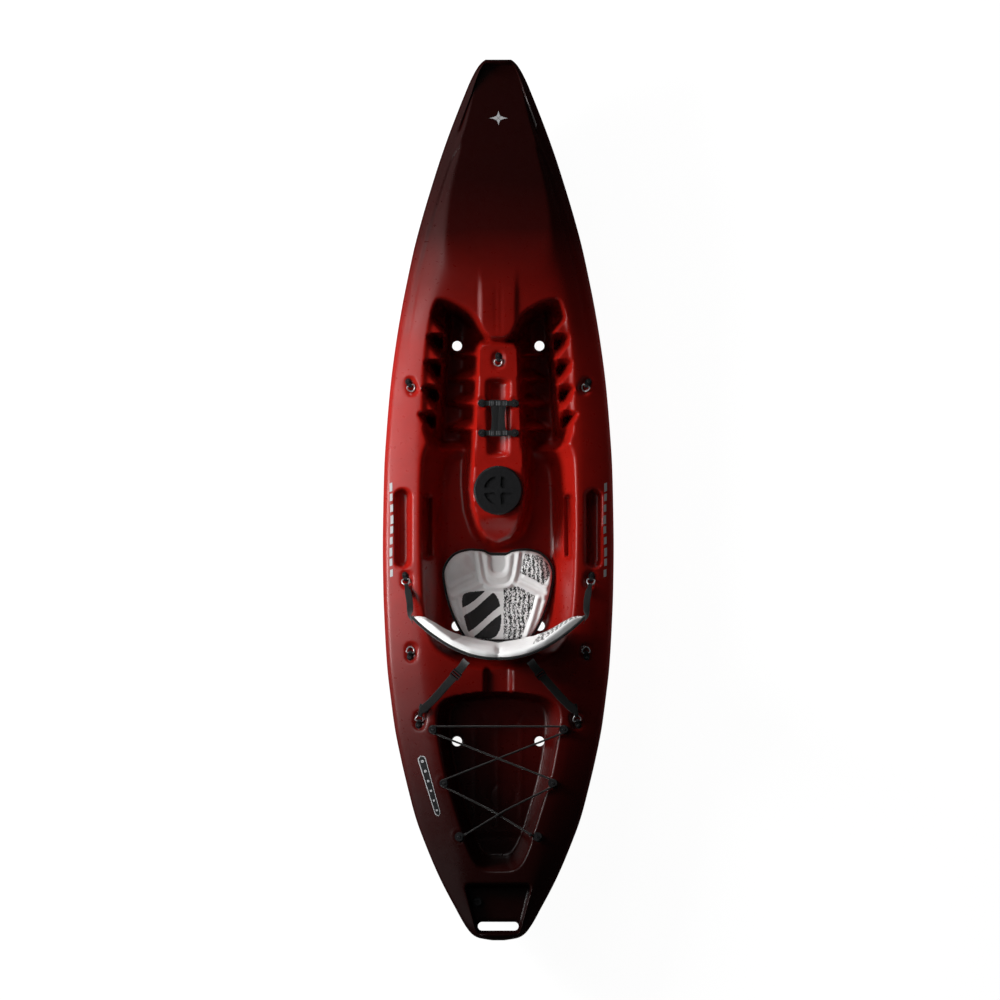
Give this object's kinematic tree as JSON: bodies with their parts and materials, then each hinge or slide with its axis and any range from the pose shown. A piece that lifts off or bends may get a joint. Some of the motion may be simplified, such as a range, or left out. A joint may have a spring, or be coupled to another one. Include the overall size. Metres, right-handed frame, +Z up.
{
  "type": "sit-on-top kayak",
  "caption": "Single sit-on-top kayak with footwells, padded seat and backrest, console hatch, bottle strap, deck rings, tank well with bungee, scupper tubes and stern drain.",
  "frame": {"origin": "centre of the bounding box, on the plane the hull rests on", "axes": "+Y to the bow, +X to starboard, +Z up"},
  "size_m": [0.7038, 2.687, 0.3972],
  "materials": {
    "hull_plastic": "gloss",
    "black_plastic": "satin",
    "ring_steel": "polished",
    "screw_steel": "satin",
    "rubber": "matte",
    "cord": "matte",
    "pad_foam": "matte",
    "webbing": "matte"
  },
  "bodies": {
    "kayak": {"kayak_hull": "hull_plastic", "hatch_rim": "black_plastic", "hatch_rim_screws": "screw_steel", "hatch_bucket": "black_plastic", "drain_bushing": "black_plastic", "padeyes": "black_plastic", "padeye_screws": "screw_steel", "ring_side_left": "ring_steel", "ring_side_right": "ring_steel", "ring_rear_left": "ring_steel", "ring_rear_right": "ring_steel", "bungee_hooks": "black_plastic", "bungee_hook_screws": "screw_steel", "bungee_cord": "cord", "bungee_knots": "cord", "strap_anchors": "black_plastic", "strap_anchor_screws": "screw_steel", "bottle_strap": "rubber", "seat_pad": "pad_foam", "seat_pad_binding": "webbing", "seat_hinge_strip": "webbing", "front_strap_left": "webbing", "front_strap_right": "webbing", "rear_strap_left": "webbing", "rear_strap_right": "webbing"},
    "hatch_seal": {"hatch_oring": "rubber"},
    "hatch_lid": {"hatch_lid": "black_plastic"},
    "drain_washer": {"drain_washer": "rubber"},
    "drain_plug": {"drain_plug": "black_plastic"},
    "backrest": {"backrest_pad": "pad_foam", "backrest_binding": "webbing", "backrest_stiffener": "black_plastic", "rear_web_left": "webbing", "rear_web_right": "webbing", "buckle_left": "black_plastic", "buckle_right": "black_plastic"},
    "ring_console": {"ring_console": "ring_steel"},
    "ring_front_right": {"ring_front_right": "ring_steel"},
    "ring_front_left": {"ring_front_left": "ring_steel"},
    "ring_mid_right": {"ring_mid_right": "ring_steel"},
    "ring_mid_left": {"ring_mid_left": "ring_steel"}
  },
  "joints": [
    {"name": "hatch_lift", "type": "slide", "parent": "kayak", "child": "hatch_seal", "axis": [0, 0, 1], "range_m": [0, 0.12]},
    {"name": "hatch_turn", "type": "hinge", "parent": "hatch_seal", "child": "hatch_lid", "pos_m": [0, 0.0296, 0.215], "axis": [0, 0, 1], "range_deg": [0, 90]},
    {"name": "drain_lift", "type": "slide", "parent": "kayak", "child": "drain_washer", "axis": [0, 0, 1], "range_m": [0, 0.011]},
    {"name": "drain_turn", "type": "hinge", "parent": "drain_washer", "child": "drain_plug", "pos_m": [-0.063, -1.226, 0.21], "axis": [0, 0, 1], "range_deg": [0, 1440]},
    {"name": "backrest_tilt", "type": "hinge", "parent": "kayak", "child": "backrest", "pos_m": [0, -0.434, 0.111], "axis": [-1, 0, 0], "range_deg": [-8, 14], "deforming": ["front_strap_left", "front_strap_right", "rear_strap_left", "rear_strap_right"]},
    {"name": "ring_console_swing", "type": "hinge", "parent": "kayak", "child": "ring_console", "pos_m": [0, 0.427, 0.2215], "axis": [-1, 0, 0], "range_deg": [0, 150]},
    {"name": "ring_front_right_swing", "type": "hinge", "parent": "kayak", "child": "ring_front_right", "pos_m": [0.2692, 0.34884, 0.22716], "axis": [-0.9063, 0.4226, 0], "range_deg": [0, 150]},
    {"name": "ring_front_left_swing", "type": "hinge", "parent": "kayak", "child": "ring_front_left", "pos_m": [-0.2692, 0.34884, 0.22716], "axis": [-0.9063, -0.4226, 0], "range_deg": [0, 150]},
    {"name": "ring_mid_right_swing", "type": "hinge", "parent": "kayak", "child": "ring_mid_right", "pos_m": [0.26837, -0.46602, 0.21633], "axis": [0.9976, 0.0698, 0], "range_deg": [0, 150]},
    {"name": "ring_mid_left_swing", "type": "hinge", "parent": "kayak", "child": "ring_mid_left", "pos_m": [-0.26837, -0.46602, 0.21633], "axis": [0.9976, -0.0698, 0], "range_deg": [0, 150]}
  ],
  "couplings": [
    {"joint": "drain_lift", "follows": "drain_turn", "m_per_rad": 0.00042}
  ]
}
